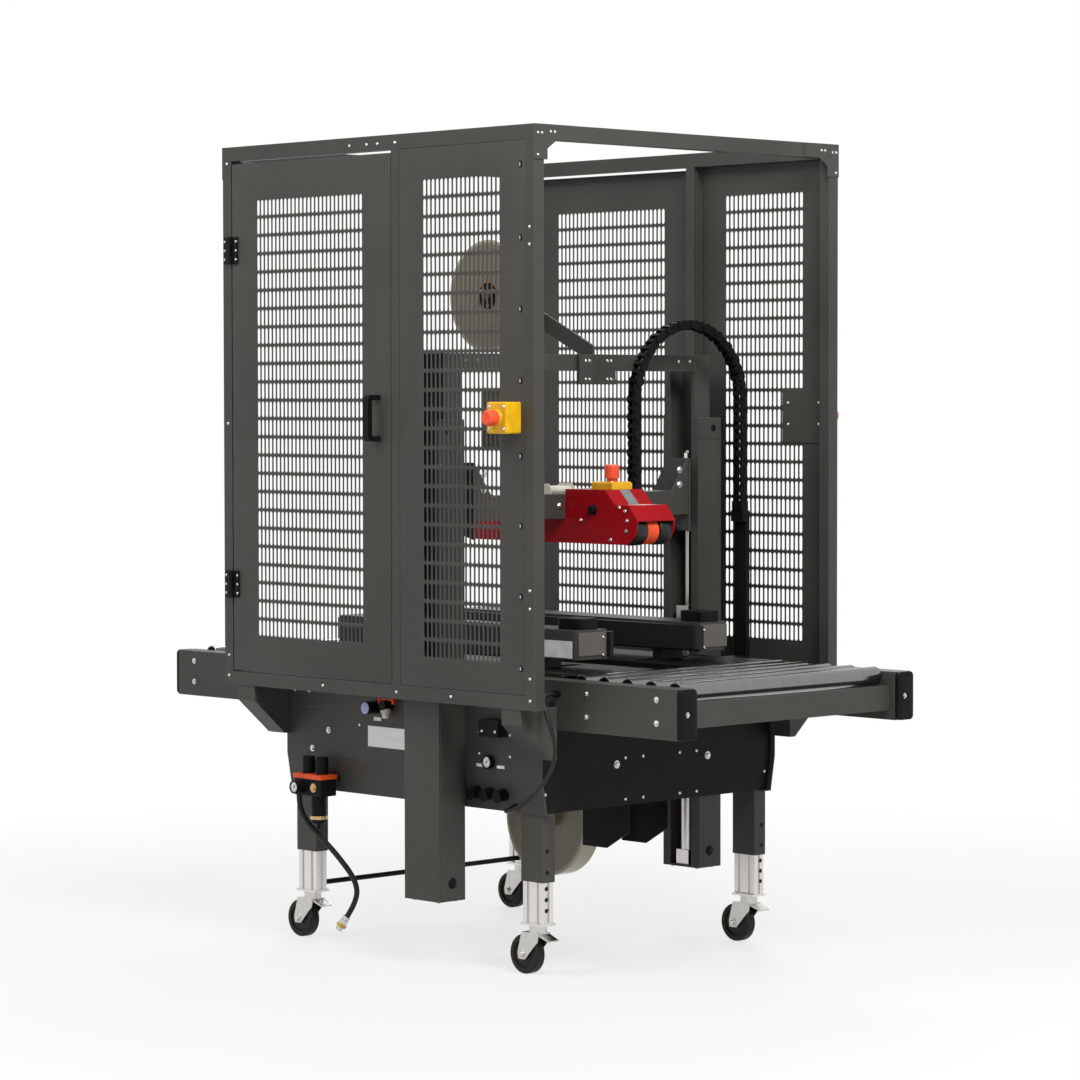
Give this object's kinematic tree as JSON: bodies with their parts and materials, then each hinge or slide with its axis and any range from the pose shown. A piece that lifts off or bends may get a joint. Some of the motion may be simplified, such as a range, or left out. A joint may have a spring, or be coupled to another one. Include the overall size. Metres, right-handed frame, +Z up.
{
  "type": "random case sealer",
  "caption": "Random case sealer in a slotted guard enclosure: roller bed on casters, side belt drives, lifting upper taping head, lower head and tape rolls.",
  "frame": {"origin": "on the floor, under the middle of the machine", "axes": "+X towards the exit end of the conveyor, -Y the side with the near door, +Z up"},
  "size_m": [1.97, 1.294, 2.144],
  "materials": {
    "powder_coat": "warm dark grey powder coat, fine texture",
    "dark_paint": "near-black powder coat",
    "black_plastic": "moulded black plastic",
    "head_red": "deep red enamel",
    "stop_yellow": "yellow moulded plastic",
    "stop_red": "red moulded plastic",
    "roller_steel": "zinc plated steel tube",
    "zinc": "bright zinc plated steel",
    "leg_aluminium": "satin anodised extrusion",
    "wheel_rubber": "dark rubber tyre",
    "belt_rubber": "black ribbed belt",
    "tape": "wound pale translucent film",
    "roller_rubber": "dark roller cover",
    "band_orange": "orange moulded plastic",
    "gauge_white": "white dial under a clear lens",
    "fitting_plastic": "moulded fittings",
    "cable_jacket": "black cable jacket",
    "chrome_rod": "hard chromed rod",
    "roller_cream": "cream plastic rollers",
    "hose_rubber": "black rubber hose",
    "coupling_metal": "plated coupling",
    "fitting_brass": "turned brass port",
    "fitting_cream": "cream moulded gland",
    "grey_paint": "lighter warm grey paint",
    "plate_metal": "bare satin plate",
    "roller_orange": "orange urethane roller",
    "core_board": "brown wound board core",
    "knob_blue": "pale blue moulded knob"
  },
  "bodies": {
    "machine": {"near_frame": "powder_coat", "far_frame": "powder_coat", "top_beams": "powder_coat", "fixed_panels": "powder_coat", "post_hinges": "black_plastic", "stop_boxes": "stop_yellow", "stop_buttons": "stop_red", "side_rails": "powder_coat", "rail_end_caps": "black_plastic", "end_cross_beams": "powder_coat", "exit_rollers": "roller_steel", "infeed_rollers": "roller_steel", "bed_deck": "dark_paint", "bed_sides": "powder_coat", "bed_ends": "dark_paint", "leg_sleeves": "powder_coat", "inner_legs": "leg_aluminium", "tie_bar": "black_plastic", "columns": "powder_coat", "column_crossbeam": "powder_coat", "roll_bracket": "powder_coat", "lower_taping_head": "dark_paint", "lift_cylinders": "leg_aluminium", "drive_slide_shafts": "roller_steel", "enclosure_brackets": "powder_coat", "energy_chain": "black_plastic", "chain_post": "dark_paint", "air_unit": "black_plastic", "air_unit_band": "band_orange", "bed_side_fittings": "fitting_plastic", "drive_cable": "cable_jacket", "supply_hose": "hose_rubber", "hose_coupling": "coupling_metal"},
    "near_door": {"near_door": "powder_coat", "near_door_fittings": "black_plastic"},
    "far_door": {"far_door": "powder_coat", "far_door_fittings": "black_plastic"},
    "lifting_head": {"head_carriage": "powder_coat", "head_housing": "head_red", "head_guide_rollers": "roller_cream", "lift_rods": "chrome_rod", "head_stop_box": "stop_yellow", "head_stop_button": "stop_red"},
    "head_roller": {"head_roller": "roller_rubber"},
    "upper_roll": {"upper_tape_roll": "tape"},
    "lower_roll": {"lower_tape_roll": "tape"},
    "near_drive": {"near_side_drive": "powder_coat", "near_drive_cover": "black_plastic", "near_drive_belt": "belt_rubber"},
    "far_drive": {"far_side_drive": "powder_coat", "far_drive_cover": "black_plastic", "far_drive_belt": "belt_rubber"},
    "near_exit_swivel": {"near_exit_caster_fork": "zinc"},
    "near_exit_wheel": {"near_exit_caster_wheel": "wheel_rubber"},
    "far_exit_swivel": {"far_exit_caster_fork": "zinc"},
    "far_exit_wheel": {"far_exit_caster_wheel": "wheel_rubber"},
    "near_infeed_swivel": {"near_infeed_caster_fork": "zinc"},
    "near_infeed_wheel": {"near_infeed_caster_wheel": "wheel_rubber"},
    "far_infeed_swivel": {"far_infeed_caster_fork": "zinc"},
    "far_infeed_wheel": {"far_infeed_caster_wheel": "wheel_rubber"}
  },
  "joints": [
    {"name": "near_door_hinge", "type": "hinge", "parent": "machine", "child": "near_door", "pos_m": [-0.5725, -0.571, 1.4], "axis": [0, 0, -1], "range_deg": [0, 150]},
    {"name": "far_door_hinge", "type": "hinge", "parent": "machine", "child": "far_door", "pos_m": [-0.5725, 0.571, 1.4], "axis": [0, 0, 1], "range_deg": [0, 150]},
    {"name": "head_lift", "type": "slide", "parent": "machine", "child": "lifting_head", "axis": [0, 0, 1], "range_m": [-0.19, 0.23]},
    {"name": "head_roller_spin", "type": "hinge", "parent": "lifting_head", "child": "head_roller", "pos_m": [0.437, 0, 1.122], "axis": [0, 1, 0], "continuous": true},
    {"name": "upper_roll_spin", "type": "hinge", "parent": "machine", "child": "upper_roll", "pos_m": [-0.131, 0, 1.745], "axis": [0, 1, 0], "continuous": true},
    {"name": "lower_roll_spin", "type": "hinge", "parent": "machine", "child": "lower_roll", "pos_m": [0.092, 0, 0.339], "axis": [0, 1, 0], "continuous": true},
    {"name": "near_drive_slide", "type": "slide", "parent": "machine", "child": "near_drive", "axis": [0, 1, 0], "range_m": [-0.095, 0.065]},
    {"name": "far_drive_slide", "type": "slide", "parent": "machine", "child": "far_drive", "axis": [0, -1, 0], "range_m": [-0.095, 0.065]},
    {"name": "near_exit_swivel_turn", "type": "hinge", "parent": "machine", "child": "near_exit_swivel", "pos_m": [0.443, -0.394, 0.12], "axis": [0, 0, 1], "continuous": true},
    {"name": "near_exit_wheel_spin", "type": "hinge", "parent": "near_exit_swivel", "child": "near_exit_wheel", "pos_m": [0.404, -0.394, 0.051], "axis": [0, 1, 0], "continuous": true},
    {"name": "far_exit_swivel_turn", "type": "hinge", "parent": "machine", "child": "far_exit_swivel", "pos_m": [0.443, 0.394, 0.12], "axis": [0, 0, 1], "continuous": true},
    {"name": "far_exit_wheel_spin", "type": "hinge", "parent": "far_exit_swivel", "child": "far_exit_wheel", "pos_m": [0.404, 0.394, 0.051], "axis": [0, 1, 0], "continuous": true},
    {"name": "near_infeed_swivel_turn", "type": "hinge", "parent": "machine", "child": "near_infeed_swivel", "pos_m": [-0.443, -0.394, 0.12], "axis": [0, 0, 1], "continuous": true},
    {"name": "near_infeed_wheel_spin", "type": "hinge", "parent": "near_infeed_swivel", "child": "near_infeed_wheel", "pos_m": [-0.482, -0.394, 0.051], "axis": [0, 1, 0], "continuous": true},
    {"name": "far_infeed_swivel_turn", "type": "hinge", "parent": "machine", "child": "far_infeed_swivel", "pos_m": [-0.443, 0.394, 0.12], "axis": [0, 0, 1], "continuous": true},
    {"name": "far_infeed_wheel_spin", "type": "hinge", "parent": "far_infeed_swivel", "child": "far_infeed_wheel", "pos_m": [-0.482, 0.394, 0.051], "axis": [0, 1, 0], "continuous": true}
  ],
  "couplings": [
    {"joint": "far_drive_slide", "follows": "near_drive_slide", "ratio": 1}
  ]
}
